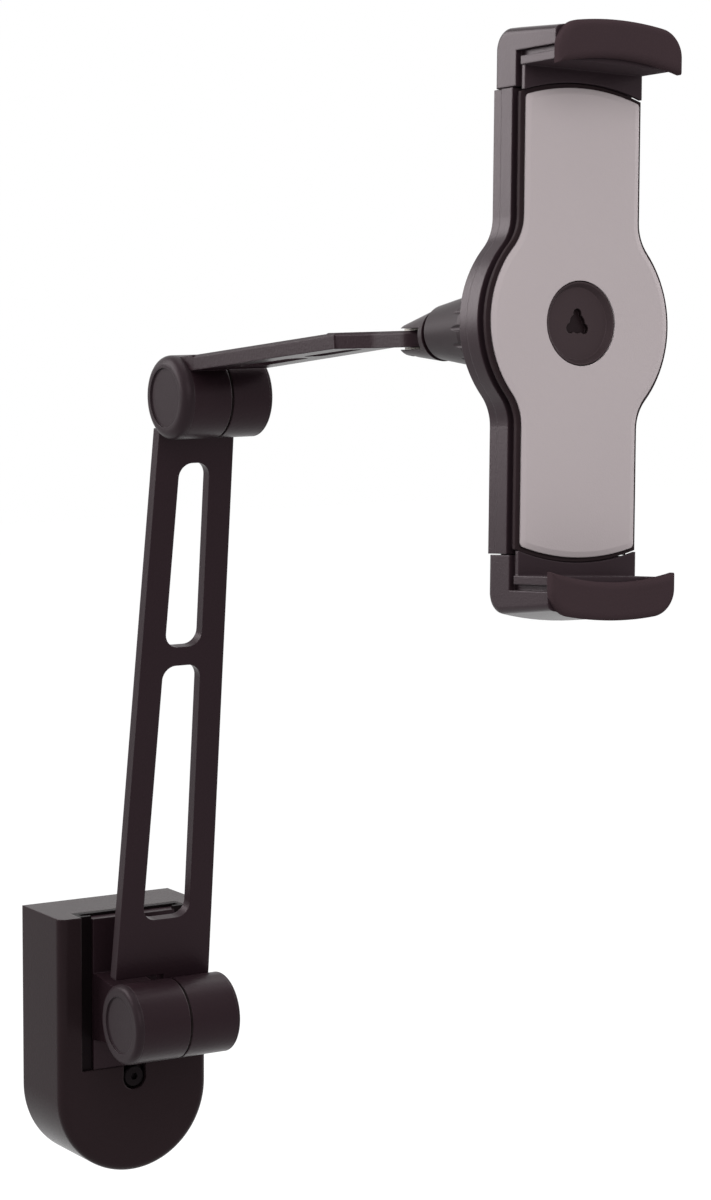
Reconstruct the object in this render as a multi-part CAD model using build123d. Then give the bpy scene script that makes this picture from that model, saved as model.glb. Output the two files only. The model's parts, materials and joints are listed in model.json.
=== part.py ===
from build123d import *
import math
import os

# Tablet wall mount: a D-shaped wall plate, a bracket that drops into its slot, two flat arms
# joined by barrel hinges, a panning fork with a ball joint, and a cradle with two sliding jaws.
# Frame: +X along the hinge axes, +Y into the wall, +Z up. The origin lies on the wall's surface,
# level with the lower hinge. All sizes are in millimetres.

# Clearances
RUN = 0.05
SLIDE = 0.25
AXIAL = 0.1
GAP = 0.3

# Wall plate
PLATE_W = 59.0
PLATE_TOP = 32.5
PLATE_BOTTOM = -62.0
PLATE_T = 29.5
PLATE_EDGE = 3.0
PLATE_WALL = 3.0
SLOT_HALF = 21.0
SLOT_LEDGE = -23.0
SLOT_DEPTH = 8.0
WEB_T = 3.0
RIB_T = 2.0
SCREW_DX = 22.0
SCREW_DZ = 34.0
WALL_HOLE_R = 2.3
WALL_BOSS_R = 5.0
COUNTERSINK_R = 4.4

# Steel channel that lines the slot
CHANNEL_FLOOR = 2.5
CHANNEL_SIDE = 1.5
CHANNEL_LIP = 3.0
CHANNEL_LIP_T = 1.5

# Slide-in bracket
BRACKET_T = 2.5
BRACKET_PAD_T = 2.6
BRACKET_TOP_DROP = 1.0
NECK_HALF_WALL = 12.0
NECK_HALF_BARREL = 9.0
TAB_T = 1.2
TAB_HALF = 4.2

# Lock screw below the bracket
LOCK_DROP = 4.4
LOCK_HEAD_R = 3.9
LOCK_HEAD_H = 2.6
LOCK_SHANK_R = 1.9
LOCK_SHANK_L = 10.0
LOCK_KEY_AF = 2.5
LOCK_RECESS_DEPTH = 4.5

# Barrel hinges
HINGE_R = 14.0
HINGE_OUT = 28.0
LOWER_HALF = 18.45
ELBOW_HALF = 14.35
WASHER_T = 0.8
WASHER_R = 12.5
BOLT_R = 4.0
BOLT_AF = 13.0
BOLT_HEAD_H = 5.0
NUT_H = 5.0
SPRING_T = 1.2
FLAT_WASHER_T = 1.0
NUT_BORE_R = 9.0
CAP_SPIGOT_R = 11.4
CAP_SPIGOT_L = 1.4
LOWER_CAP_T = 2.6
ELBOW_CAP_T = 4.0
RIGHT_CAP_T = 1.0
CAP_DISH_R = 9.9
CAP_DISH_DEPTH = 0.6

# Arms
ARM_T = 5.0
ARM_RAIL = 8.8
ARM_CLEAR = 13.0
ARM_EDGE = 0.9
SLOT_CORNER = 5.0
LOWER_LENGTH = 220.5
LOWER_LEAN = 7.4
LOWER_SLOT_START = 33.5
LOWER_SLOT_SECOND = 89.0
LOWER_SLOT_MARGIN = 24.7
WEB_WIDTH = 6.5
UPPER_LENGTH = 129.0
UPPER_RISE = 7.5
UPPER_SET = 10.5
TONGUE_LENGTH = 31.0
BEND_DROP = 4.0
UPPER_SLOT_START = 26.0
UPPER_SLOT_SECOND = 32.5
UPPER_SLOT_MARGIN = 5.0
UPPER_NARROW = 11.6
TIP_HALF = 6.5
TIP_NECK = 15.0
TIP_BLEND = 8.0

# Fork that pans on the arm's tip, with its ball
PAN_REST = 1.8
PAN_PIN_R = 2.4
PIN_REACH = 5.0
PIN_KEY_AF = 2.5
PAN_WASHER_T = 0.6
PAN_WASHER_R = 4.2
FORK_NOSE = 5.2
FORK_NOSE_R = 4.7
FORK_ROOT = 10.2
FORK_FRONT = 13.0
FORK_FRONT_R = 7.9
STUD_RISE = 4.0
BALL_R = 6.0
BALL_NECK_R = 3.0
BALL_AT = 27.0

# Ball seat, hub and lock nut
TILT_REST = 2.7
SEAT_T = 1.2
SEAT_LIP = 2.9
SOCKET_R = 8.6
SOCKET_START = 24.2
NUT_START = 15.0
NUT_NOSE_R = 8.3
NUT_BASE_R = 11.4
NUT_CONE_END = 36.0
NUT_END = 40.0
NUT_MOUTH_R = 6.3
NUT_LIP_R = 4.8
NUT_FLUTES = 14
FLUTE_R = 1.1
FLUTE_L = 9.0
HUB_NECK_R = 8.6
HUB_FLARE = 2.2
HUB_FLARE_L = 8.0
HUB_FLANGE_R = 19.0
HUB_FLANGE_T = 3.0
HUB_SCREW_RING = 14.0
HUB_SCREW_R = 1.3
HUB_SCREW_L = 6.0

# Cradle, drawn flat with its front at z = 0
CRADLE_AT = 81.4
CRADLE_ROLL = -3.6
NECK_HALF = 20.0
DISC_R = 31.0
END_HALF = 63.2
NECK_FILLET = 14.0
FACE_T = 0.8
FACE_BEVEL = 1.6
FACE_BEVEL_T = 0.4
FACE_CORNER = 1.5
RAISED_T = 0.5
RAISED_IN = 0.15
RIM = 1.2
FRONT_T = 1.1
GROOVE_T = 3.0
GROOVE_IN = 2.0
BACK_T = 10.6
BACK_STEP = 0.5
BACK_STEP_T = 5.3
BACK_EDGE = 1.2
SHELL_WALL = 1.6
BODY_PAST = 2.3
SKIN_T = 2.0
POST_R = 3.0
CRADLE_SCREW_R = 1.3
CRADLE_SCREW_HEAD_R = 2.6
CRADLE_SCREW_NEAR = 30.0
CRADLE_SCREW_MARGIN = 7.2
CRADLE_BOSS_R = 3.2

# Centre knob
KNOB_R = 11.8
KNOB_BELOW = 0.2
KNOB_H = 3.6
KNOB_DISH_R = 10.2
KNOB_DISH_DEPTH = 1.6
KNOB_SCREW_R = 2.0
KNOB_KEY_R = 2.8
KNOB_KEY_LOBE_R = 1.5
KNOB_KEY_DEPTH = 1.5
KNOB_KEY_LOBES = 3
KNOB_FLOOR_T = 0.8
KNOB_CUP_WALL = 1.4

# Rack and pinion that keep the jaws level with each other
MODULE = 1.25
TEETH = 16
PRESSURE = 20.0
BACKLASH = 0.2
PINION_T = 4.4
RACK_BACK = 5.5
RACK_T = 5.0
RACK_REACH = 52.0
RACK_PAST = 8.0

# Jaws
JAW_RISE = 18.4
JAW_SLOPE = 3.7
JAW_BACK_IN = 1.6
JAW_EDGE = 2.0
JAW_SHELF = 6.0
JAW_FRONT = 14.6
LEG_T = 2.4
LEG_GAP = 1.8
LEG_SIDE_IN = 0.5
LEG_OUT = 1.5
LEG_BELOW = 0.2
LEG_FRONT_T = 1.4
JAW_CORNER = 6.0
CROWN_R = 100.0
COVER_FRONT = 18.0
LIP_RISE = 4.7
LIP_ARCH = 2.8
COVER_CORNER = 8.0
COVER_EDGE = 2.0
COVER_PROUD = 0.75
COVER_SIDE = 0.4

# Sizes that follow from the ones above
FRONT_Y = -PLATE_T
HINGE_Y = FRONT_Y - HINGE_OUT
SLOT_FLOOR_Y = FRONT_Y + SLOT_DEPTH
CHANNEL_TOP_Y = SLOT_FLOOR_Y - CHANNEL_FLOOR
BRACKET_BACK_Y = CHANNEL_TOP_Y - AXIAL
BRACKET_FACE_Y = BRACKET_BACK_Y - BRACKET_T
CHANNEL_LIP_Y = BRACKET_FACE_Y - AXIAL
CHANNEL_FRONT_Y = CHANNEL_LIP_Y - CHANNEL_LIP_T
BRACKET_PAD_Y = BRACKET_FACE_Y - BRACKET_PAD_T
BRACKET_HALF = SLOT_HALF - CHANNEL_SIDE - SLIDE
BRACKET_PAD_HALF = SLOT_HALF - CHANNEL_SIDE - CHANNEL_LIP - SLIDE
PLATE_ARC_Z = PLATE_BOTTOM + PLATE_W / 2
LOCK_Z = SLOT_LEDGE - LOCK_DROP
ARM_INNER = HINGE_R - ARM_T
ARM_MID = HINGE_R - ARM_T / 2
SEAM = WASHER_T / 2 + AXIAL
STACK = FLAT_WASHER_T + SPRING_T + NUT_H
LOWER_SLOT_END = LOWER_LENGTH - LOWER_SLOT_MARGIN
LOWER_SLOT_WEB = LOWER_LENGTH - LOWER_SLOT_SECOND - WEB_WIDTH
BEND_AT = UPPER_LENGTH - TONGUE_LENGTH
UPPER_SLOT_END = BEND_AT - UPPER_SLOT_MARGIN
UPPER_SLOT_WEB = BEND_AT - UPPER_SLOT_SECOND - WEB_WIDTH
EAR_IN = ARM_T / 2 + PAN_WASHER_T + AXIAL
SEAT_R = BALL_R + RUN
SEAT_OUT = SEAT_R + SEAT_T
RAISED_Z = -FACE_T
FRONT_Z = RAISED_Z - RAISED_T
GROOVE_Z = FRONT_Z - FRONT_T
SHELL_Z = GROOVE_Z - GROOVE_T
BACK_Z = SHELL_Z - BACK_T
FLOOR_Z = BACK_Z + SKIN_T
HUB_END = CRADLE_AT + BACK_Z
BODY_END = END_HALF + BODY_PAST
JAW_TOP = BODY_END + JAW_RISE
JAW_INNER = BODY_END + JAW_SHELF
LIP_TIP = BODY_END + LIP_RISE
PITCH_R = MODULE * TEETH / 2
RACK_ROOT = PITCH_R + 1.25 * MODULE
PINION_Z = FLOOR_Z + GAP
KNOB_TOP = -KNOB_BELOW
KNOB_BASE = KNOB_TOP - KNOB_H
KNOB_SEAT = KNOB_BASE - AXIAL
SCREW_SPOTS = [(sx * SCREW_DX / 2, sz * SCREW_DZ / 2) for sx in (-1, 1) for sz in (-1, 1)]
HUB_SPOTS = [(HUB_SCREW_RING, 45.0 + 90.0 * i) for i in range(4)]
CRADLE_SCREW_FAR = END_HALF - CRADLE_SCREW_MARGIN
CRADLE_SPOTS = [CRADLE_SCREW_NEAR, CRADLE_SCREW_FAR, -CRADLE_SCREW_NEAR, -CRADLE_SCREW_FAR]

# Rest places of the moving frames
LOWER = Location((0, HINGE_Y, 0), (LOWER_LEAN, 0, 0))
ELBOW = LOWER * Location((0, 0, LOWER_LENGTH))
UPPER = Location(ELBOW.position, (90 - UPPER_RISE, 0, 0))
TONGUE = UPPER * Location((0, UPPER_SET, BEND_AT), (BEND_DROP, 0, 0))
FORK = TONGUE * Location((0, 0, TONGUE_LENGTH), (0, PAN_REST, 0))
STUD = FORK * Location((0, 0, 0), (-STUD_RISE, 0, 0))
HUB = STUD * Location((0, 0, BALL_AT), (TILT_REST, 0, 0)) * Location((0, 0, -BALL_AT), (0, 0, CRADLE_ROLL))
CRADLE = HUB * Location((0, 0, CRADLE_AT))


# Simple solids between two stations on one axis
def block(x0, x1, y0, y1, z0, z1):
    return Pos((x0 + x1) / 2, (y0 + y1) / 2, (z0 + z1) / 2) * Box(x1 - x0, y1 - y0, z1 - z0)


def rod_x(radius, x0, x1):
    return Pos((x0 + x1) / 2, 0, 0) * Rot(0, 90, 0) * Cylinder(radius, x1 - x0)


def rod_y(radius, y0, y1, x=0.0, z=0.0):
    return Pos(x, (y0 + y1) / 2, z) * Rot(90, 0, 0) * Cylinder(radius, y1 - y0)


def rod_z(radius, z0, z1, x=0.0, y=0.0):
    return Pos(x, y, (z0 + z1) / 2) * Cylinder(radius, z1 - z0)


def hexagon(across_flats):
    return RegularPolygon(across_flats / 2, 6, major_radius=False)


def turned(points):
    # A solid of revolution about Z from (radius, z) points.
    profile = Plane.XZ * make_face(Polyline(*points, close=True))
    return revolve(profile, Axis.Z)


# Wall plate and what stays on the wall
def plate_outline(inset):
    half = PLATE_W / 2 - inset
    top = PLATE_TOP - inset
    rounded = Pos(0, PLATE_ARC_Z) * Circle(half)
    upper = Pos(0, (top + PLATE_ARC_Z) / 2) * Rectangle(2 * half, top - PLATE_ARC_Z)
    return rounded + upper


def wall_plate():
    body = extrude(Plane.XZ * plate_outline(0), PLATE_T)
    front = body.faces().sort_by(Axis.Y)[0]
    rim = front.edges().filter_by(lambda e: e.center().Z < PLATE_TOP - PLATE_EDGE)
    body = fillet(rim, PLATE_EDGE)
    cavity_y = SLOT_FLOOR_Y + WEB_T
    body -= extrude(Plane.XZ * plate_outline(PLATE_WALL), -cavity_y)
    body -= block(-SLOT_HALF, SLOT_HALF, FRONT_Y - 1, SLOT_FLOOR_Y, SLOT_LEDGE, PLATE_TOP + 1)
    ribs = block(-RIB_T / 2, RIB_T / 2, cavity_y, 0, PLATE_BOTTOM + 1, PLATE_TOP - 1)
    ribs += block(-PLATE_W / 2 + 1, PLATE_W / 2 - 1, cavity_y, 0, PLATE_ARC_Z, PLATE_ARC_Z + RIB_T)
    body += ribs
    lock_floor = FRONT_Y + LOCK_RECESS_DEPTH
    body += rod_y(WALL_BOSS_R, cavity_y - WEB_T, 0, 0, LOCK_Z)
    for x, z in SCREW_SPOTS:
        body += rod_y(WALL_BOSS_R, cavity_y, 0, x, z)
    for x, z in SCREW_SPOTS:
        body -= rod_y(WALL_HOLE_R, SLOT_FLOOR_Y - 1, 1, x, z)
    body -= rod_y(LOCK_HEAD_R + 0.7, FRONT_Y - 1, lock_floor, 0, LOCK_Z)
    body -= block(-TAB_HALF - GAP, TAB_HALF + GAP, FRONT_Y - 1, lock_floor, LOCK_Z, SLOT_LEDGE + 1)
    body -= rod_y(LOCK_SHANK_R + RUN, lock_floor - 1, lock_floor + LOCK_SHANK_L + 1, 0, LOCK_Z)
    return body


def guide_channel():
    floor = block(-SLOT_HALF, SLOT_HALF, CHANNEL_TOP_Y, SLOT_FLOOR_Y, SLOT_LEDGE, PLATE_TOP)
    inner = SLOT_HALF - CHANNEL_SIDE
    channel = floor
    for side in (-1, 1):
        wall = sorted((side * SLOT_HALF, side * inner))
        lip = sorted((side * SLOT_HALF, side * (inner - CHANNEL_LIP)))
        channel += block(*wall, CHANNEL_FRONT_Y, CHANNEL_TOP_Y, SLOT_LEDGE, PLATE_TOP)
        channel += block(*lip, CHANNEL_FRONT_Y, CHANNEL_LIP_Y, SLOT_LEDGE, PLATE_TOP)
    for x, z in SCREW_SPOTS:
        cone = Pos(x, SLOT_FLOOR_Y, z) * Rot(90, 0, 0) * Cone(
            WALL_HOLE_R, COUNTERSINK_R, CHANNEL_FLOOR, align=(Align.CENTER, Align.CENTER, Align.MIN))
        channel -= cone + rod_y(WALL_HOLE_R, CHANNEL_TOP_Y, SLOT_FLOOR_Y + 1, x, z)
    return channel


def lock_screw():
    head_back = FRONT_Y + LOCK_RECESS_DEPTH - TAB_T - 2 * AXIAL
    head_front = head_back - LOCK_HEAD_H
    screw = rod_y(LOCK_HEAD_R, head_front, head_back, 0, LOCK_Z)
    screw = chamfer(screw.faces().sort_by(Axis.Y)[0].edges(), 0.5)
    screw += rod_y(LOCK_SHANK_R, head_back, FRONT_Y + LOCK_RECESS_DEPTH + LOCK_SHANK_L, 0, LOCK_Z)
    key = Plane((0, head_front, LOCK_Z), x_dir=(1, 0, 0), z_dir=(0, 1, 0)) * hexagon(LOCK_KEY_AF)
    return screw - extrude(key, LOCK_HEAD_H * 0.6)


# Barrel hinge: the bolt is keyed in the left knuckle and runs in the right one
def left_knuckle_cut(half):
    cut = rod_x(CAP_SPIGOT_R + RUN, -half - 1, -half + CAP_SPIGOT_L + AXIAL)
    pocket = Plane.YZ.offset(-half) * hexagon(BOLT_AF + 2 * RUN)
    cut += extrude(pocket, CAP_SPIGOT_L + AXIAL + BOLT_HEAD_H + AXIAL)
    return cut + rod_x(BOLT_R + RUN, -half, 0)


def right_knuckle_cut(half):
    cut = rod_x(CAP_SPIGOT_R + RUN, half - CAP_SPIGOT_L - AXIAL, half + 1)
    cut += rod_x(NUT_BORE_R, half - CAP_SPIGOT_L - STACK - 1.5, half)
    return cut + rod_x(BOLT_R + RUN, 0, half)


def hinge_bolt(half):
    head_end = -half + CAP_SPIGOT_L + AXIAL + BOLT_HEAD_H
    tip = half - CAP_SPIGOT_L - 0.5
    head = extrude(Plane.YZ.offset(head_end - BOLT_HEAD_H) * hexagon(BOLT_AF), BOLT_HEAD_H)
    return head + rod_x(BOLT_R, head_end, tip)


def stack_start(half):
    return half - CAP_SPIGOT_L - STACK - 1.5 + AXIAL


def flat_washer(half):
    start = stack_start(half)
    ring = rod_x(NUT_BORE_R - GAP, start, start + FLAT_WASHER_T)
    return ring - rod_x(BOLT_R + RUN, start - 1, start + FLAT_WASHER_T + 1)


def spring_washer(half):
    # Coned disc spring between the flat washer and the nut.
    start = stack_start(half) + FLAT_WASHER_T
    bore = BOLT_R + RUN
    rim = NUT_BORE_R - GAP
    rise = SPRING_T * 0.5
    profile = [(rim, 0), (rim, rise), (bore, SPRING_T), (bore, rise)]
    return Pos(start, 0, 0) * Rot(0, 90, 0) * turned(profile)


def hinge_nut(half):
    start = stack_start(half) + FLAT_WASHER_T + SPRING_T
    nut = extrude(Plane.YZ.offset(start) * hexagon(BOLT_AF), NUT_H)
    return nut - rod_x(BOLT_R + RUN / 2, start - 1, start + NUT_H + 1)


def friction_washer():
    return rod_x(WASHER_R, -WASHER_T / 2, WASHER_T / 2) - rod_x(BOLT_R + RUN, -WASHER_T, WASHER_T)


def end_cap(half, side, thickness, dished):
    # Moulded cap with a rounded rim. Its spigot presses into the knuckle's mouth.
    outer = side * (half + thickness)
    face = rod_x(HINGE_R, *sorted((side * half, outer)))
    rim = face.faces().sort_by(Axis.X)[-1 if side > 0 else 0].edges()
    cap = fillet(rim, thickness * 0.8)
    cap += rod_x(CAP_SPIGOT_R, *sorted((side * half, side * (half - CAP_SPIGOT_L))))
    if dished:
        cap -= rod_x(CAP_DISH_R, *sorted((outer - side * CAP_DISH_DEPTH, outer + side)))
    return cap


# Slide-in bracket with the lower hinge's left knuckle
def slide_bracket():
    bottom = SLOT_LEDGE + AXIAL
    top = PLATE_TOP - BRACKET_TOP_DROP
    body = block(-BRACKET_HALF, BRACKET_HALF, BRACKET_FACE_Y, BRACKET_BACK_Y, bottom, top)
    body += block(-BRACKET_PAD_HALF, BRACKET_PAD_HALF, BRACKET_PAD_Y, BRACKET_FACE_Y, bottom, top)
    side = Polyline((BRACKET_PAD_Y, -NECK_HALF_WALL), (BRACKET_PAD_Y, NECK_HALF_WALL),
                    (HINGE_Y, NECK_HALF_BARREL), (HINGE_Y, -NECK_HALF_BARREL), close=True)
    neck = extrude(Plane.YZ.offset(-BRACKET_PAD_HALF) * make_face(side), BRACKET_PAD_HALF - SEAM)
    body += neck
    barrel = rod_x(HINGE_R, -LOWER_HALF, -WASHER_T / 2)
    body += Pos(0, HINGE_Y, 0) * barrel
    body -= Pos(0, HINGE_Y, 0) * left_knuckle_cut(LOWER_HALF)
    tab_y = FRONT_Y + LOCK_RECESS_DEPTH - AXIAL
    tab = block(-TAB_HALF, TAB_HALF, tab_y - TAB_T, tab_y, LOCK_Z, bottom + 1)
    tab += rod_y(TAB_HALF, tab_y - TAB_T, tab_y, 0, LOCK_Z)
    notch_half = LOCK_SHANK_R + GAP
    tab -= block(-notch_half, notch_half, tab_y - 5, tab_y + 5, LOCK_Z - TAB_HALF - 1, LOCK_Z)
    tab -= rod_y(notch_half, tab_y - 5, tab_y + 5, 0, LOCK_Z)
    return body + tab


# Arms
def arm_half_width(z, z0, z1, half0, half1):
    share = (z - z0) / (z1 - z0)
    return half0 + (half1 - half0) * share


def slot_outline(z0, z1, half_at):
    a, b = half_at(z0) - ARM_RAIL, half_at(z1) - ARM_RAIL
    corners = Polyline((-a, z0), (a, z0), (b, z1), (-b, z1), close=True)
    face = make_face(corners)
    return fillet(face.vertices(), min(SLOT_CORNER, a * 0.9, b * 0.9))


def bar_blank(outline, middle):
    # Flat bar about a middle plane at the given distance from the hinge's axis.
    return extrude(Plane.XZ.offset(-middle - ARM_T / 2) * outline, ARM_T)


def break_edges(bar):
    for face in (bar.faces().sort_by(Axis.Y)[0], bar.faces().sort_by(Axis.Y)[-1]):
        bar = chamfer(face.edges(), ARM_EDGE)
    return bar


def lower_arm():
    # The bar's outer face is tangent to the barrels.
    z0, z1 = ARM_CLEAR, LOWER_LENGTH - ARM_CLEAR

    def half_at(z):
        return arm_half_width(z, z0, z1, LOWER_HALF, ELBOW_HALF)

    outline = make_face(Polyline((-LOWER_HALF, z0), (LOWER_HALF, z0), (ELBOW_HALF, z1),
                                 (-ELBOW_HALF, z1), close=True))
    outline -= slot_outline(LOWER_SLOT_START, LOWER_SLOT_WEB, half_at)
    outline -= slot_outline(LOWER_SLOT_WEB + WEB_WIDTH, LOWER_SLOT_END, half_at)
    bar = break_edges(bar_blank(outline, ARM_MID))
    ends = ((0, LOWER_HALF, z0 + ARM_EDGE), (LOWER_LENGTH, ELBOW_HALF, z1 - ARM_EDGE))
    for z, half, reach in ends:
        profile = Pos(0, z) * Circle(HINGE_R)
        profile += Pos(ARM_MID, (z + reach) / 2) * Rectangle(ARM_T, abs(reach - z))
        knuckle = extrude(Plane.YZ.offset(SEAM) * profile, half - SEAM)
        bar += knuckle
        bar -= Pos(0, 0, z) * right_knuckle_cut(half)
    return bar


def tongue_outline():
    # From the bend, the bar draws in to a round tip about the pan pin.
    length = TONGUE_LENGTH
    overlap = ARM_T
    neck = length - TIP_NECK
    half = Polyline((UPPER_NARROW, -overlap), (UPPER_NARROW, 0), (TIP_HALF, neck), (TIP_HALF, length),
                    (0, length), (0, -overlap), close=True)
    side = make_face(half)
    face = side + mirror(side, Plane.YZ)
    bends = [v for v in face.vertices() if 1 < v.Y < length - 1 and abs(v.X) > 1]
    return fillet(bends, TIP_BLEND) + Pos(0, length) * Circle(TIP_HALF)


def upper_arm():
    z0 = ARM_CLEAR

    def half_at(z):
        return arm_half_width(z, z0, BEND_AT, ELBOW_HALF, UPPER_NARROW)

    outline = make_face(Polyline((-ELBOW_HALF, z0), (ELBOW_HALF, z0), (UPPER_NARROW, BEND_AT + 1),
                                 (-UPPER_NARROW, BEND_AT + 1), close=True))
    outline -= slot_outline(UPPER_SLOT_START, UPPER_SLOT_WEB, half_at)
    outline -= slot_outline(UPPER_SLOT_WEB + WEB_WIDTH, UPPER_SLOT_END, half_at)
    bar = break_edges(bar_blank(outline, UPPER_SET))
    tongue = break_edges(bar_blank(tongue_outline(), 0))
    tongue -= rod_y(PAN_PIN_R + RUN, -ARM_T, ARM_T, 0, TONGUE_LENGTH)
    bar += Location((0, UPPER_SET, BEND_AT), (BEND_DROP, 0, 0)) * tongue
    reach = ARM_CLEAR + ARM_EDGE
    profile = Circle(HINGE_R) + Pos(UPPER_SET, reach / 2) * Rectangle(ARM_T, reach)
    bar += extrude(Plane.YZ.offset(-ELBOW_HALF) * profile, ELBOW_HALF - WASHER_T / 2)
    return bar - left_knuckle_cut(ELBOW_HALF)


# Pan joint
def swivel_fork():
    # Turned cone slotted for the arm's tip. Its axis rises a little to the ball.
    cone = turned([(0, -FORK_NOSE), (FORK_NOSE_R, -FORK_NOSE), (FORK_FRONT_R, FORK_FRONT), (0, FORK_FRONT)])
    nose = cone.faces().sort_by(Axis.Z)[0].edges()
    cone = fillet(nose, 1.2)
    cone += rod_z(BALL_NECK_R, FORK_FRONT - 1, BALL_AT)
    cone += Pos(0, 0, BALL_AT) * Sphere(BALL_R)
    fork = Location((0, 0, 0), (-STUD_RISE, 0, 0)) * cone
    reach = FORK_FRONT_R + 1
    fork -= block(-reach, reach, -EAR_IN, EAR_IN, -FORK_NOSE - 2, FORK_ROOT)
    return fork - rod_y(PAN_PIN_R + RUN, -reach, reach)


def pan_bolt():
    # Shoulder pin sunk just below the ears' surface.
    bolt = rod_y(PAN_PIN_R, -PIN_REACH, PIN_REACH)
    key = Plane((0, PIN_REACH, 0), x_dir=(1, 0, 0), z_dir=(0, -1, 0)) * hexagon(PIN_KEY_AF)
    return bolt - extrude(key, PAN_PIN_R * 0.6)


def pan_washers():
    washers = []
    for side in (-1, 1):
        y0, y1 = sorted((side * (EAR_IN - AXIAL / 2), side * (EAR_IN - AXIAL / 2 - PAN_WASHER_T)))
        washers.append(rod_y(PAN_WASHER_R, y0, y1) - rod_y(PAN_PIN_R + RUN, y0 - 1, y1 + 1))
    return Compound(washers)


# Ball joint
def ball_seat():
    shell = Sphere(SEAT_OUT) - Sphere(SEAT_R)
    keep = rod_z(SEAT_OUT + 1, -SEAT_LIP, SEAT_OUT + 1)
    return Pos(0, 0, BALL_AT) * (shell & keep)


def cradle_hub():
    neck_start = NUT_END + GAP
    flange = HUB_END - HUB_FLANGE_T
    profile = make_face([
        Polyline((0, BALL_AT), (SOCKET_R, BALL_AT), (SOCKET_R, neck_start), (HUB_NECK_R, neck_start + 1)),
        Spline((HUB_NECK_R, neck_start + 1), (HUB_NECK_R + HUB_FLARE, flange - HUB_FLARE_L), (HUB_FLANGE_R, flange),
               tangents=[(0, 1), (1, 0.25)]),
        Polyline((HUB_FLANGE_R, flange), (HUB_FLANGE_R, HUB_END), (0, HUB_END), (0, BALL_AT)),
    ])
    hub = revolve(Plane.XZ * profile, Axis.Z)
    hub += rod_z(SOCKET_R, SOCKET_START, BALL_AT + 1)
    bore = Pos(0, 0, BALL_AT) * Sphere(SEAT_OUT + RUN) + rod_z(SEAT_OUT + RUN, SOCKET_START - 1, BALL_AT)
    hub -= bore
    for radius, angle in HUB_SPOTS:
        x, y = radius * math.cos(math.radians(angle)), radius * math.sin(math.radians(angle))
        hub -= rod_z(HUB_SCREW_R + RUN, HUB_END - HUB_SCREW_L - 0.5, HUB_END + 1, x, y)
    return hub


def lock_nut():
    # Turned nut that draws the ball into its seat. A conical mouth clears the neck when it tilts.
    ball_clear = BALL_R + 2 * RUN
    seat_end = SOCKET_START - GAP
    inner = SOCKET_R + GAP
    lip = BALL_AT - math.sqrt(ball_clear ** 2 - NUT_LIP_R ** 2)
    profile = make_face(Polyline((NUT_LIP_R, lip), (NUT_MOUTH_R, NUT_START), (NUT_NOSE_R, NUT_START),
                                 (NUT_BASE_R, NUT_CONE_END), (NUT_BASE_R, NUT_END), (inner, NUT_END),
                                 (inner, seat_end), (NUT_LIP_R, seat_end), close=True))
    nut = revolve(Plane.XZ * profile, Axis.Z)
    nut -= Pos(0, 0, BALL_AT) * Sphere(ball_clear)
    flute = rod_z(FLUTE_R, NUT_CONE_END - FLUTE_L, NUT_END + 1, NUT_BASE_R + FLUTE_R / 2, 0)
    for i in range(NUT_FLUTES):
        nut -= Rot(0, 0, 360 / NUT_FLUTES * i) * flute
    return nut


# Cradle outlines, all built from the front plate's
def cradle_outline(grow, end_half):
    half = NECK_HALF + grow
    face = Rectangle(2 * half, 4 * END_HALF) + Circle(DISC_R + grow)
    waist = [v for v in face.vertices() if abs(v.Y) < END_HALF]
    face = fillet(waist, NECK_FILLET - grow)
    if end_half is None:
        return face & Circle(math.hypot(NECK_HALF, END_HALF) + grow)
    return face & Rectangle(4 * DISC_R, 2 * end_half)


def face_plate():
    # Thin grey plate with a shallow bevel all round and a hole for the knob.
    base = cradle_outline(0, None)
    corners = [v for v in base.vertices() if abs(v.Y) > END_HALF / 2]
    lower = fillet(corners, FACE_CORNER)
    plate = extrude(Pos(0, 0, RAISED_Z) * lower, FACE_T - FACE_BEVEL_T)
    inner = cradle_outline(-FACE_BEVEL, None)
    corners = [v for v in inner.vertices() if abs(v.Y) > END_HALF / 2]
    inner = fillet(corners, FACE_CORNER)
    plate += loft([Pos(0, 0, -FACE_BEVEL_T) * lower, inner], ruled=True)
    return plate - rod_z(KNOB_R + GAP, RAISED_Z - 1, 1)


def cradle_front():
    # Front shell: a rim with a raised bed for the face plate and a cup for the knob.
    lid = extrude(Pos(0, 0, GROOVE_Z) * cradle_outline(RIM, None), FRONT_T)
    lid += extrude(Pos(0, 0, FRONT_Z) * cradle_outline(-RAISED_IN, None), RAISED_T)
    lid += rod_z(KNOB_R + GAP + KNOB_CUP_WALL, KNOB_SEAT - KNOB_FLOOR_T, FRONT_Z)
    lid -= rod_z(KNOB_R + GAP, KNOB_SEAT, 1)
    for y in CRADLE_SPOTS:
        lid -= rod_z(CRADLE_SCREW_R + RUN, GROOVE_Z - 1, FRONT_Z, 0, y)
    return lid - rod_z(KNOB_SCREW_R + GAP, KNOB_SEAT - KNOB_FLOOR_T - 1, 1)


def rail_window(side):
    # Opening in the shell's end for the rail of the jaw on that side.
    x0 = RACK_ROOT - GAP
    x1 = RACK_ROOT + RACK_BACK + GAP
    z0 = PINION_Z - GAP / 2
    y0 = BODY_END - GROOVE_IN - 2 * SHELL_WALL
    window = block(x0, x1, y0, BODY_END + 1, z0, z0 + RACK_T + GAP)
    return window if side > 0 else Rot(0, 0, 180) * window


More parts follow.
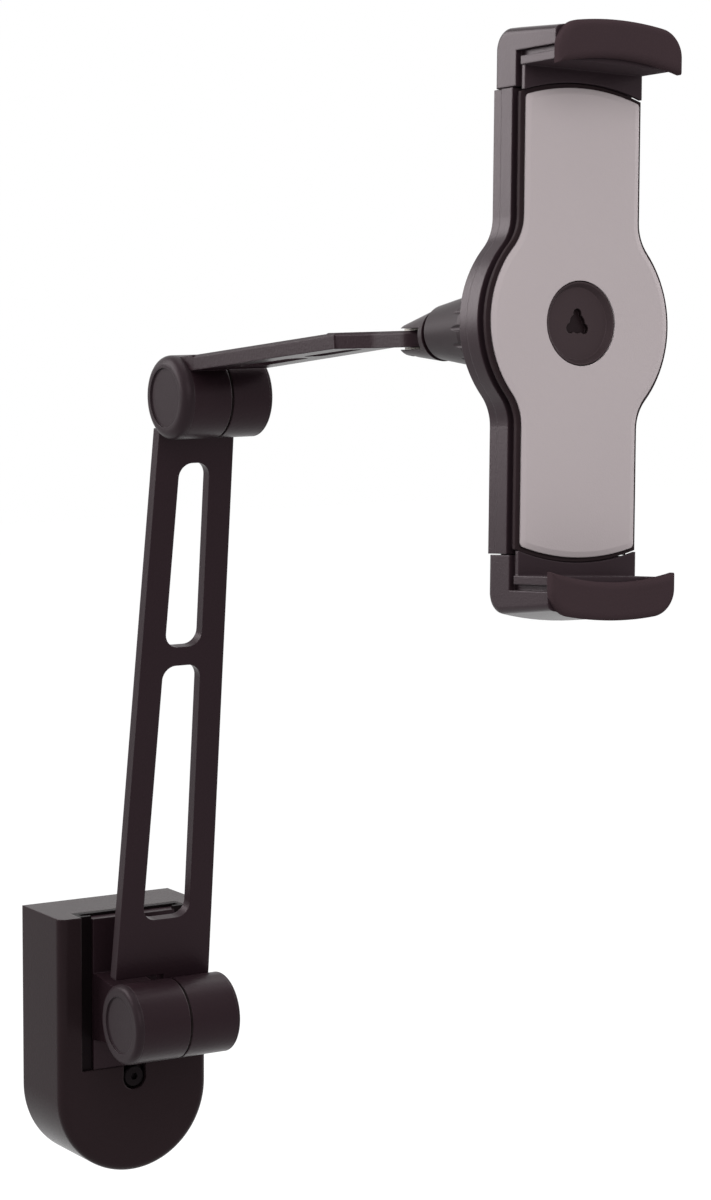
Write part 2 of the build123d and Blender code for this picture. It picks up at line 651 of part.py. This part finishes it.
def cradle_back():
    lower = extrude(Pos(0, 0, BACK_Z) * cradle_outline(RIM - BACK_STEP, BODY_END), BACK_STEP_T)
    upper = extrude(Pos(0, 0, BACK_Z + BACK_STEP_T) * cradle_outline(RIM, BODY_END), BACK_T - BACK_STEP_T)
    body = chamfer(lower.faces().sort_by(Axis.Z)[0].edges(), BACK_EDGE) + upper
    collar = extrude(Pos(0, 0, SHELL_Z) * cradle_outline(RIM - GROOVE_IN, BODY_END - GROOVE_IN), GROOVE_T)
    body += collar
    cavity_inset = RIM - GROOVE_IN - SHELL_WALL
    cavity = cradle_outline(cavity_inset, BODY_END - GROOVE_IN - SHELL_WALL)
    body -= extrude(Pos(0, 0, FLOOR_Z) * cavity, GROOVE_Z - FLOOR_Z + 1)
    for y in CRADLE_SPOTS:
        body += rod_z(CRADLE_BOSS_R, BACK_Z + 1, GROOVE_Z, 0, y)
    body += rod_z(POST_R, FLOOR_Z - 1, PINION_Z + PINION_T + GAP)
    for y in CRADLE_SPOTS:
        body -= rod_z(CRADLE_SCREW_R + RUN, BACK_Z - 1, GROOVE_Z + 1, 0, y)
        body -= rod_z(CRADLE_SCREW_HEAD_R + RUN, BACK_Z - 1, BACK_Z + 1.6, 0, y)
    body -= rod_z(KNOB_SCREW_R + RUN, FLOOR_Z, GROOVE_Z)
    for radius, angle in HUB_SPOTS:
        x, y = radius * math.cos(math.radians(angle)), radius * math.sin(math.radians(angle))
        sink = Pos(x, y, FLOOR_Z) * Cone(HUB_SCREW_R + RUN, 2.6, 1.3, align=(Align.CENTER, Align.CENTER, Align.MAX))
        body -= sink + rod_z(HUB_SCREW_R + RUN, BACK_Z - 1, FLOOR_Z - 1, x, y)
    for side in (-1, 1):
        body -= rail_window(side)
    return body


def cradle_screws():
    screws = []
    for y in CRADLE_SPOTS:
        head = rod_z(CRADLE_SCREW_HEAD_R, BACK_Z + 0.2, BACK_Z + 1.6, 0, y)
        key = extrude(Pos(0, y, BACK_Z + 0.2) * (Rectangle(3.2, 0.7) + Rectangle(0.7, 3.2)), 0.7)
        shank = rod_z(CRADLE_SCREW_R, BACK_Z + 1.6, FRONT_Z - 0.2, 0, y)
        screws.append(head + shank - key)
    return Compound(screws)


def hub_screws():
    screws = []
    for radius, angle in HUB_SPOTS:
        x, y = radius * math.cos(math.radians(angle)), radius * math.sin(math.radians(angle))
        head = Pos(x, y, FLOOR_Z - 0.05) * Cone(HUB_SCREW_R, 2.5, 1.2, align=(Align.CENTER, Align.CENTER, Align.MAX))
        screws.append(head + rod_z(HUB_SCREW_R, BACK_Z - HUB_SCREW_L, FLOOR_Z - 1.0, x, y))
    return Compound(screws)


def centre_knob():
    # Flush knob with a dished face and a lobed socket. Its screw clamps the pinion's post.
    knob = rod_z(KNOB_R, KNOB_BASE, KNOB_TOP)
    knob -= Pos(0, 0, KNOB_TOP) * Cone(KNOB_DISH_R, KNOB_R - 0.4, KNOB_DISH_DEPTH,
                                       align=(Align.CENTER, Align.CENTER, Align.MAX))
    key = Circle(KNOB_KEY_R)
    for i in range(KNOB_KEY_LOBES):
        key += Rot(0, 0, 90 + 360 / KNOB_KEY_LOBES * i) * Pos(KNOB_KEY_R, 0) * Circle(KNOB_KEY_LOBE_R)
    knob -= extrude(Pos(0, 0, KNOB_TOP - KNOB_DISH_DEPTH - KNOB_KEY_DEPTH) * key, KNOB_KEY_DEPTH + 1)
    return knob + rod_z(KNOB_SCREW_R, FLOOR_Z + 0.5, KNOB_BASE + 0.3)


# Rack and pinion
def involute(radius, base):
    # Angle swept by an involute between its base circle and a radius.
    ratio = math.sqrt(max((radius / base) ** 2 - 1, 0))
    return ratio - math.atan(ratio)


def pinion_outline():
    base = PITCH_R * math.cos(math.radians(PRESSURE))
    root = PITCH_R - 1.25 * MODULE
    tip = PITCH_R + MODULE * 0.9
    half_tooth = (math.pi * MODULE / 2 - BACKLASH / 2) / (2 * PITCH_R)
    at_pitch = involute(PITCH_R, base)
    radii = [base + (tip - base) * i / 5 for i in range(6)]
    points = []
    for tooth in range(TEETH):
        middle = 2 * math.pi * tooth / TEETH
        flank = [(root, half_tooth + at_pitch)]
        flank += [(r, half_tooth + at_pitch - involute(r, base)) for r in radii]
        points += [(r, middle - a) for r, a in flank]
        points += [(r, middle + a) for r, a in reversed(flank)]
    return make_face(Polyline(*[(r * math.cos(a), r * math.sin(a)) for r, a in points], close=True))


def jaw_pinion():
    gear = extrude(Pos(0, 0, PINION_Z) * pinion_outline(), PINION_T)
    return gear - rod_z(POST_R + RUN, PINION_Z - 1, PINION_Z + PINION_T + 1)


def jaw_rail():
    # Rail of the upper jaw, with rack teeth that face the pinion.
    pitch = math.pi * MODULE
    lean = math.tan(math.radians(PRESSURE))
    tip_x = PITCH_R - MODULE * 0.85
    half = math.pi * MODULE / 4 - BACKLASH / 2
    end = -RACK_REACH
    points = [(RACK_ROOT + RACK_BACK, end), (RACK_ROOT, end)]
    first = -int((RACK_REACH - 2) / pitch)
    last = int(RACK_PAST / pitch)
    for i in range(first, last):
        middle = pitch * (i + 0.5)
        wide = half + (RACK_ROOT - PITCH_R) * lean
        narrow = half - (PITCH_R - tip_x) * lean
        points += [(RACK_ROOT, middle - wide), (tip_x, middle - narrow)]
        points += [(tip_x, middle + narrow), (RACK_ROOT, middle + wide)]
    points += [(RACK_ROOT, BODY_END + 2), (RACK_ROOT + RACK_BACK, BODY_END + 2)]
    profile = make_face(Polyline(*points, close=True))
    return extrude(Pos(0, 0, PINION_Z) * profile, RACK_T)


# Upper jaw, in the cradle's frame. The lower jaw is the same part turned half round.
def crown(top):
    # Space below a shallow arched surface that drops slightly towards the front.
    arch = Pos(0, -CROWN_R, 0) * Cylinder(CROWN_R, 4 * COVER_FRONT)
    return Pos(0, top, 0) * Rot(JAW_SLOPE, 0, 0) * arch


def jaw():
    half = NECK_HALF + RIM
    core = half - GROOVE_IN
    start = BODY_END + GAP
    high = JAW_TOP + JAW_CORNER
    back = BACK_Z + JAW_BACK_IN
    leg_z = SHELL_Z + LEG_OUT
    front_z = -LEG_BELOW
    frame = block(-half, half, start, high, back, leg_z)
    frame += block(-half, half, JAW_INNER, high, back, JAW_FRONT)
    leg = half - LEG_SIDE_IN
    frame += block(-leg, leg, END_HALF, JAW_INNER + 1, front_z - LEG_FRONT_T, front_z)
    frame += block(-core, core, start, JAW_INNER + 1, leg_z - 1, front_z)
    groove_y = JAW_INNER + LEG_T
    for side in (-1, 1):
        x0, x1 = sorted((side * core, side * (half + 1)))
        frame -= block(x0, x1, groove_y, groove_y + LEG_GAP, leg_z, JAW_FRONT + 1)
        frame -= block(x0, x1, start - 1, groove_y + LEG_GAP, leg_z, front_z - LEG_FRONT_T)
    frame &= crown(JAW_TOP)
    ridge = frame.edges().filter_by(lambda e: e.center().Z < back + 0.1 and e.center().Y > JAW_TOP - 2)
    frame = fillet(ridge, JAW_CORNER)
    sides = frame.edges().filter_by(
        lambda e: abs(e.center().Z - back) < 0.1 and abs(abs(e.center().X) - half) < 0.1)
    frame = fillet(sides, JAW_EDGE)
    arc = Circle(math.hypot(NECK_HALF, END_HALF) + RIM + GAP)
    frame -= extrude(Pos(0, 0, GROOVE_Z - GAP) * arc, 2 * GAP - GROOVE_Z)
    return frame + jaw_rail()


def jaw_cover():
    # Soft cap on the front of the jaw. Its lip arches across the tablet's edge.
    half = NECK_HALF + RIM + COVER_SIDE
    top = JAW_TOP - JAW_FRONT * math.tan(math.radians(JAW_SLOPE)) + COVER_PROUD
    band = Pos(0, (LIP_TIP + top) / 2) * Rectangle(2 * half, top - LIP_TIP)
    band &= Pos(0, top - CROWN_R) * Circle(CROWN_R)
    arch_r = (half ** 2 + LIP_ARCH ** 2) / (2 * LIP_ARCH)
    band -= Pos(0, LIP_TIP + LIP_ARCH - arch_r) * Circle(arch_r)
    band = fillet([v for v in band.vertices() if v.Y > JAW_INNER + 3], COVER_CORNER)
    lip = extrude(Pos(0, 0, JAW_FRONT) * band, COVER_FRONT - JAW_FRONT)
    return fillet(lip.faces().sort_by(Axis.Z)[-1].edges(), COVER_EDGE)


def place(part, where):
    return where * part


# Every node: its solid and the frame in which it is drawn
def nodes():
    at_lower = Location((0, HINGE_Y, 0))
    made = {
        "wall_plate": wall_plate(),
        "guide_channel": guide_channel(),
        "lock_screw": lock_screw(),
        "slide_bracket": slide_bracket(),
        "lower_arm": place(lower_arm(), LOWER),
        "upper_arm": place(upper_arm(), UPPER),
        "swivel_fork": place(swivel_fork(), FORK),
        "pan_bolt": place(pan_bolt(), FORK),
        "pan_washers": place(pan_washers(), FORK),
        "ball_seat": place(ball_seat(), HUB),
    }
    hinges = (("lower", LOWER_HALF, LOWER_CAP_T, at_lower), ("elbow", ELBOW_HALF, ELBOW_CAP_T, UPPER))
    for name, half, cap, where in hinges:
        made[name + "_hinge_bolt"] = place(hinge_bolt(half), where)
        made[name + "_friction_washer"] = place(friction_washer(), where)
        made[name + "_flat_washer"] = place(flat_washer(half), where)
        made[name + "_spring_washer"] = place(spring_washer(half), where)
        made[name + "_hinge_nut"] = place(hinge_nut(half), where)
        made[name + "_left_cap"] = place(end_cap(half, -1, cap, True), where)
    made["lower_right_cap"] = place(end_cap(LOWER_HALF, 1, RIGHT_CAP_T, False), LOWER)
    made["elbow_right_cap"] = place(end_cap(ELBOW_HALF, 1, RIGHT_CAP_T, False), ELBOW)
    made["cradle_hub"] = place(cradle_hub(), HUB)
    made["ball_lock_nut"] = place(lock_nut(), HUB)
    upper_jaw, cover = jaw(), jaw_cover()
    in_cradle = {
        "cradle_back": cradle_back(),
        "cradle_front": cradle_front(),
        "face_plate": face_plate(),
        "cradle_screws": cradle_screws(),
        "hub_screws": hub_screws(),
        "centre_knob": centre_knob(),
        "jaw_pinion": jaw_pinion(),
        "top_jaw": upper_jaw,
        "top_jaw_cover": cover,
        "bottom_jaw": Rot(0, 0, 180) * upper_jaw,
        "bottom_jaw_cover": Rot(0, 0, 180) * cover,
    }
    for name, part in in_cradle.items():
        made[name] = place(part, CRADLE)
    return made


def main():
    os.makedirs("parts", exist_ok=True)
    for name, part in nodes().items():
        export_step(part, "parts/" + name + ".step")
        print(name, len(part.solids()), round(sum(s.volume for s in part.solids()), 1))


main()
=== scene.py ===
import json
import math

import bpy
from mathutils import Matrix, Vector

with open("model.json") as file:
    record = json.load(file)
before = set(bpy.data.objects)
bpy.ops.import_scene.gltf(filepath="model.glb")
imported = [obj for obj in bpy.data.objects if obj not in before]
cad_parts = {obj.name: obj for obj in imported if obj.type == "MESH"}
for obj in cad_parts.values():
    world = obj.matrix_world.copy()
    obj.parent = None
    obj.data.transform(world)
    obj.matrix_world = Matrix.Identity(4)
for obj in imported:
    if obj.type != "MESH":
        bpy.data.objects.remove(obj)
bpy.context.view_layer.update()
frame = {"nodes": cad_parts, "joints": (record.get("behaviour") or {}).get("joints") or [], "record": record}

nodes = frame["nodes"]
scene = bpy.context.scene

# Camera fitted to the photograph: direction in degrees, place in metres
CAMERA_AZIMUTH = -31.79
CAMERA_ELEVATION = 7.26
CAMERA_ROLL = 0.28
CAMERA_PLACE = (-0.57435, -1.10386, 0.29903)
LENS = 105.0
SENSOR = 36.0

# Colours under plain light, 0 to 255
PLATE_BLACK = (36, 27, 29)
CHANNEL_BLACK = (12, 8, 9)
ARM_BLACK = (33, 22, 26)
CAP_CHARCOAL = (40, 32, 35)
KNOB_CHARCOAL = (54, 44, 46)
CRADLE_BLACK = (40, 30, 34)
FRONT_BLACK = (44, 35, 37)
NUT_BLACK = (34, 26, 29)
RUBBER_BLACK = (60, 48, 51)
WARM_GREY = (174, 164, 165)
SCREW_BLACK = (18, 15, 16)
STEEL = (160, 160, 162)
NYLON = (205, 200, 190)
ACETAL = (222, 219, 210)

# Colours written as the shader takes them, 0 to 1
WARM_GLEAM = (1.0, 0.78, 0.85, 1)
# Painted shade colour for the knob's key socket
POCKET_PAINTED_SHADE = (0.006, 0.003, 0.0035, 1)
WHITE = (1, 1, 1, 1)
SKY_GREY = (0.97, 0.98, 1.0, 1)
FLOOR_GREY = (0.55, 0.55, 0.55, 1)
FLOOR_THIN = (0.24, 0.24, 0.24, 1)

# Edge mask: cosines between the rounded and the flat normal where it starts and is full
FLAT_DOT = 0.99
EDGE_DOT = 0.72
BEVEL_SAMPLES = 4

# Texture cells per metre of the slow mottling, and the Voronoi's share of the grain
SLOW_SCALE = 28.0
CELL_SHARE = 0.6
LOWEST_ROUGH = 0.05

# The knob's key socket gets painted shade: where it starts to darken below the knob's face, in metres
SOCKET_START = 0.0019
SOCKET_END = 0.0026
SOCKET_PAINTED_SHADE = 0.95

# Cosines at which a jaw's inner face starts and ends its change to a rough finish
INNER_START = -0.80
INNER_END = -0.95

# Floor and studio
FLOOR_Z = -0.30
FLOOR_SIZE = 8.0
FLOOR_GLOW = 0.90
SKY_LEVEL = 0.45
MID_ARM = (0, -0.16, 0.14)
CRADLE_FOOT = (0, -0.28, 0.28)


def linear(colour):
    out = []
    for value in colour:
        c = value / 255.0
        out.append(c / 12.92 if c <= 0.04045 else ((c + 0.055) / 1.055) ** 2.4)
    return out


def new_node(tree, kind, **inputs):
    node = tree.nodes.new(kind)
    for name, value in inputs.items():
        node.inputs[name.replace("_", " ")].default_value = value
    return node


def edge_mask(tree, radius):
    # The rounded normal, and a mask: 0 on flat faces, up to 1 where that normal leaves the face's.
    bevel = new_node(tree, "ShaderNodeBevel", Radius=radius)
    bevel.samples = BEVEL_SAMPLES
    geometry = tree.nodes.new("ShaderNodeNewGeometry")
    dot = tree.nodes.new("ShaderNodeVectorMath")
    dot.operation = "DOT_PRODUCT"
    tree.links.new(bevel.outputs["Normal"], dot.inputs[0])
    tree.links.new(geometry.outputs["True Normal"], dot.inputs[1])
    ramp = new_node(tree, "ShaderNodeMapRange", From_Min=FLAT_DOT, From_Max=EDGE_DOT)
    tree.links.new(dot.outputs["Value"], ramp.inputs["Value"])
    return bevel, ramp.outputs["Result"]


def surface(name, colour, rough, grain, depth, tone=0.10, spread=0.06, metal=0.0, level=0.5,
            radius=0.0004, edge_wear_and_sheen=0.25, stretch=(1.0, 1.0, 1.0)):
    # Grain is the texture's cell in metres and depth its height. Tone and spread are the slow
    # changes of colour and roughness. Level is the strength of reflections. Radius rounds the
    # edges in the shading, in metres, and the wear amount is how far they are painted lighter,
    # partly as abrasion and partly as a painted edge highlight.
    material = bpy.data.materials.new(name)
    material.use_nodes = True
    tree = material.node_tree
    shader = tree.nodes["Principled BSDF"]
    shader.inputs["Metallic"].default_value = metal
    shader.inputs["Specular IOR Level"].default_value = level
    shader.inputs["Specular Tint"].default_value = WARM_GLEAM
    place = tree.nodes.new("ShaderNodeTexCoord")
    mapping = tree.nodes.new("ShaderNodeMapping")
    mapping.inputs["Scale"].default_value = stretch
    tree.links.new(place.outputs["Object"], mapping.inputs["Vector"])

    slow = new_node(tree, "ShaderNodeTexNoise", Scale=SLOW_SCALE, Detail=4.0, Roughness=0.55)
    fine = new_node(tree, "ShaderNodeTexNoise", Scale=1.0 / grain, Detail=2.0, Roughness=0.6)
    cells = new_node(tree, "ShaderNodeTexVoronoi", Scale=CELL_SHARE / grain)
    for texture in (slow, fine, cells):
        tree.links.new(mapping.outputs["Vector"], texture.inputs["Vector"])

    bevel, edge = edge_mask(tree, radius)
    base = linear(colour)
    tint = tree.nodes.new("ShaderNodeMix")
    tint.data_type = "RGBA"
    tint.inputs["A"].default_value = [c * (1 - tone) for c in base] + [1]
    tint.inputs["B"].default_value = [c * (1 + tone) for c in base] + [1]
    tree.links.new(slow.outputs["Fac"], tint.inputs["Factor"])

    # Edges painted lighter in the colour: partly abrasion, partly a painted highlight.
    rubbed_and_lit = tree.nodes.new("ShaderNodeMath")
    rubbed_and_lit.operation = "MULTIPLY"
    tree.links.new(edge, rubbed_and_lit.inputs[0])
    tree.links.new(fine.outputs["Fac"], rubbed_and_lit.inputs[1])
    worn_and_lit = tree.nodes.new("ShaderNodeMix")
    worn_and_lit.data_type = "RGBA"
    worn_and_lit.inputs["B"].default_value = [min(1, c * (1 + 4 * edge_wear_and_sheen) + 0.02 * edge_wear_and_sheen) for c in base] + [1]
    tree.links.new(rubbed_and_lit.outputs["Value"], worn_and_lit.inputs["Factor"])
    tree.links.new(tint.outputs["Result"], worn_and_lit.inputs["A"])
    tree.links.new(worn_and_lit.outputs["Result"], shader.inputs["Base Color"])

    gloss = tree.nodes.new("ShaderNodeMapRange")
    gloss.inputs["To Min"].default_value = max(LOWEST_ROUGH, rough - spread)
    gloss.inputs["To Max"].default_value = min(1.0, rough + spread)
    tree.links.new(slow.outputs["Fac"], gloss.inputs["Value"])
    tree.links.new(gloss.outputs["Result"], shader.inputs["Roughness"])

    relief = tree.nodes.new("ShaderNodeMath")
    relief.operation = "ADD"
    tree.links.new(fine.outputs["Fac"], relief.inputs[0])
    tree.links.new(cells.outputs["Distance"], relief.inputs[1])
    bump = new_node(tree, "ShaderNodeBump", Strength=1.0, Distance=depth)
    tree.links.new(relief.outputs["Value"], bump.inputs["Height"])
    tree.links.new(bevel.outputs["Normal"], bump.inputs["Normal"])
    tree.links.new(bump.outputs["Normal"], shader.inputs["Normal"])
    return material


finishes = {
    "plate_plastic": surface("plate_plastic", PLATE_BLACK, 0.24, 0.0005, 0.000020, level=0.05,
                             radius=0.0009),
    "channel_steel": surface("channel_steel", CHANNEL_BLACK, 0.45, 0.0006, 0.00001, level=0.05,
                             edge_wear_and_sheen=0.5),
    "arm_metal": surface("arm_metal", ARM_BLACK, 0.34, 0.0007, 0.000025, level=0.12,
                         radius=0.0006),
    "cap_plastic": surface("cap_plastic", CAP_CHARCOAL, 0.36, 0.0004, 0.000018, level=0.07),
    "fastener_steel": surface("fastener_steel", STEEL, 0.30, 0.0003, 0.00001, metal=1.0,
                              stretch=(1, 6, 6)),
    "dark_steel": surface("dark_steel", SCREW_BLACK, 0.35, 0.0003, 0.00001, level=0.05, edge_wear_and_sheen=0.6),
    "nylon": surface("nylon", NYLON, 0.45, 0.0004, 0.00001, edge_wear_and_sheen=0.05),
    "cradle_plastic": surface("cradle_plastic", CRADLE_BLACK, 0.33, 0.0004, 0.000016, level=0.15,
                              radius=0.0006),
    "grey_plate": surface("grey_plate", WARM_GREY, 0.46, 0.00035, 0.000018, tone=0.025, level=0.3,
                          edge_wear_and_sheen=0.06),
    "soft_rubber": surface("soft_rubber", RUBBER_BLACK, 0.62, 0.0006, 0.00005, level=0.0,
                           edge_wear_and_sheen=0.15),
    "gear_plastic": surface("gear_plastic", ACETAL, 0.40, 0.0004, 0.00001, edge_wear_and_sheen=0.05),
}

# Pieces whose finish differs a little from the rest of their slot
knob_plastic = surface("knob_plastic", KNOB_CHARCOAL, 0.40, 0.0004, 0.000016, level=0.14)


def paint_shade_below(material, point, axis, start, end, amount):
    # Painted shade in a pocket: the colour falls off with the depth behind the point, against the axis.
    tree = material.node_tree
    shader = tree.nodes["Principled BSDF"]
    colour = shader.inputs["Base Color"].links[0].from_socket
    place = tree.nodes.new("ShaderNodeTexCoord")
    offset = tree.nodes.new("ShaderNodeVectorMath")
    offset.operation = "SUBTRACT"
    offset.inputs[1].default_value = point
    tree.links.new(place.outputs["Object"], offset.inputs[0])
    along = tree.nodes.new("ShaderNodeVectorMath")
    along.operation = "DOT_PRODUCT"
    along.inputs[1].default_value = axis
    tree.links.new(offset.outputs["Vector"], along.inputs[0])
    depth = new_node(tree, "ShaderNodeMapRange", From_Min=-start, From_Max=-end, To_Max=amount)
    tree.links.new(along.outputs["Value"], depth.inputs["Value"])
    dark = tree.nodes.new("ShaderNodeMix")
    dark.data_type = "RGBA"
    dark.inputs["B"].default_value = POCKET_PAINTED_SHADE
    tree.links.new(depth.outputs["Result"], dark.inputs["Factor"])
    tree.links.new(colour, dark.inputs["A"])
    tree.links.new(dark.outputs["Result"], shader.inputs["Base Color"])


def roughen_facing(material, axis, rough):
    # The faces that look back along an axis get a rubbery, unpolished finish.
    tree = material.node_tree
    shader = tree.nodes["Principled BSDF"]
    plain = shader.inputs["Roughness"].links[0].from_socket
    place = tree.nodes.new("ShaderNodeTexCoord")
    along = tree.nodes.new("ShaderNodeVectorMath")
    along.operation = "DOT_PRODUCT"
    along.inputs[1].default_value = axis
    tree.links.new(place.outputs["Normal"], along.inputs[0])
    facing = new_node(tree, "ShaderNodeMapRange", From_Min=INNER_START, From_Max=INNER_END)
    tree.links.new(along.outputs["Value"], facing.inputs["Value"])
    mixed = new_node(tree, "ShaderNodeMix", B=rough)
    tree.links.new(facing.outputs["Result"], mixed.inputs["Factor"])
    tree.links.new(plain, mixed.inputs["A"])
    tree.links.new(mixed.outputs["Result"], shader.inputs["Roughness"])


joints = {joint["name"]: joint for joint in frame["joints"]}
knob_joint = joints["knob_turn"]
# The knob's socket is given painted shade, darker with depth below its face.
paint_shade_below(knob_plastic, knob_joint["pos_m"], knob_joint["axis"],
             SOCKET_START, SOCKET_END, SOCKET_PAINTED_SHADE)
front_plastic = surface("front_plastic", FRONT_BLACK, 0.45, 0.0004, 0.00001, level=0.02)
nut_plastic = surface("nut_plastic", NUT_BLACK, 0.38, 0.0004, 0.000016, level=0.11)
special = {
    "centre_knob": knob_plastic,
    "cradle_front": front_plastic,
    "ball_lock_nut": nut_plastic,
}
for jaw in ("top_jaw", "bottom_jaw"):
    special[jaw] = surface(jaw + "_plastic", CRADLE_BLACK, 0.33, 0.0004, 0.000016, level=0.15,
                           radius=0.0006)
    roughen_facing(special[jaw], joints[jaw + "_slide"]["axis"], 1.0)

for part in frame["record"]["subparts"]:
    node = nodes[part["node"]]
    node.data.materials.clear()
    node.data.materials.append(special.get(part["node"], finishes[part["material_slot"]]))

# Floor, well below the part, pale and plain
bpy.ops.mesh.primitive_plane_add(size=FLOOR_SIZE, location=(0, 0, FLOOR_Z))
floor = bpy.context.object
floor.name = "floor"
paint = bpy.data.materials.new("floor_paint")
paint.use_nodes = True
tree = paint.node_tree
tree.nodes.remove(tree.nodes["Principled BSDF"])
matt = new_node(tree, "ShaderNodeBsdfDiffuse", Color=FLOOR_GREY)
thin = new_node(tree, "ShaderNodeBsdfDiffuse", Color=FLOOR_THIN)
glow = new_node(tree, "ShaderNodeEmission", Strength=FLOOR_GLOW)
both = tree.nodes.new("ShaderNodeAddShader")
tree.links.new(glow.outputs[0], both.inputs[0])
tree.links.new(thin.outputs[0], both.inputs[1])
rays = tree.nodes.new("ShaderNodeLightPath")


def seen(tree, rays):
    # 1 for camera, glossy and transmission rays.
    first = tree.nodes.new("ShaderNodeMath")
    first.operation = "MAXIMUM"
    tree.links.new(rays.outputs["Is Camera Ray"], first.inputs[0])
    tree.links.new(rays.outputs["Is Glossy Ray"], first.inputs[1])
    second = tree.nodes.new("ShaderNodeMath")
    second.operation = "MAXIMUM"
    tree.links.new(first.outputs[0], second.inputs[0])
    tree.links.new(rays.outputs["Is Transmission Ray"], second.inputs[1])
    return second.outputs[0]


mixed = tree.nodes.new("ShaderNodeMixShader")
tree.links.new(seen(tree, rays), mixed.inputs[0])
tree.links.new(matt.outputs[0], mixed.inputs[1])
tree.links.new(both.outputs[0], mixed.inputs[2])
tree.links.new(mixed.outputs[0], tree.nodes["Material Output"].inputs["Surface"])
floor.data.materials.append(paint)

# World: white where it is seen, a soft grey where it lights
world = bpy.data.worlds.new("studio")
scene.world = world
world.use_nodes = True
tree = world.node_tree
tree.nodes.clear()
rays = tree.nodes.new("ShaderNodeLightPath")
white = new_node(tree, "ShaderNodeBackground", Color=WHITE, Strength=1.0)
soft = new_node(tree, "ShaderNodeBackground", Color=SKY_GREY, Strength=SKY_LEVEL)
mixed = tree.nodes.new("ShaderNodeMixShader")
tree.links.new(seen(tree, rays), mixed.inputs[0])
tree.links.new(soft.outputs[0], mixed.inputs[1])
tree.links.new(white.outputs[0], mixed.inputs[2])
output = tree.nodes.new("ShaderNodeOutputWorld")
tree.links.new(mixed.outputs[0], output.inputs["Surface"])


def softbox(name, place, aim, size, power):
    # Square area lamp at a place in metres, turned to face the aim.
    data = bpy.data.lights.new(name, "AREA")
    data.shape = "SQUARE"
    data.size = size
    data.energy = power
    lamp = bpy.data.objects.new(name, data)
    scene.collection.objects.link(lamp)
    away = Vector(place) - Vector(aim)
    lamp.location = place
    lamp.rotation_euler = away.to_track_quat("Z", "Y").to_euler()
    lamp.visible_camera = False


softbox("key", (-0.44, -1.22, 0.77), MID_ARM, 0.9, 9.0)
softbox("side", (-0.55, 0.38, 0.52), CRADLE_FOOT, 0.54, 7.6)
softbox("top", (0.10, -0.06, 1.14), MID_ARM, 0.8, 5.0)
softbox("right", (1.05, -0.20, 0.45), MID_ARM, 0.7, 5.0)
softbox("behind", (1.00, 0.42, 0.80), MID_ARM, 0.7, 6.0)

# Camera
azimuth, elevation, roll = (
    math.radians(v) for v in (CAMERA_AZIMUTH, CAMERA_ELEVATION, CAMERA_ROLL))
back = Vector((
    math.sin(azimuth) * math.cos(elevation),
    -math.cos(azimuth) * math.cos(elevation),
    math.sin(elevation)))
level = Vector((math.cos(azimuth), math.sin(azimuth), 0))
upright = back.cross(level)
right = level * math.cos(roll) + upright * math.sin(roll)
up = upright * math.cos(roll) - level * math.sin(roll)
lens = bpy.data.cameras.new("camera")
lens.lens = LENS
lens.sensor_width = SENSOR
lens.clip_start = 0.05
lens.clip_end = 50.0
camera = bpy.data.objects.new("camera", lens)
scene.collection.objects.link(camera)
turn = Matrix((right, up, back)).transposed().to_4x4()
camera.matrix_world = Matrix.Translation(CAMERA_PLACE) @ turn
scene.camera = camera

scene.view_settings.view_transform = "Standard"
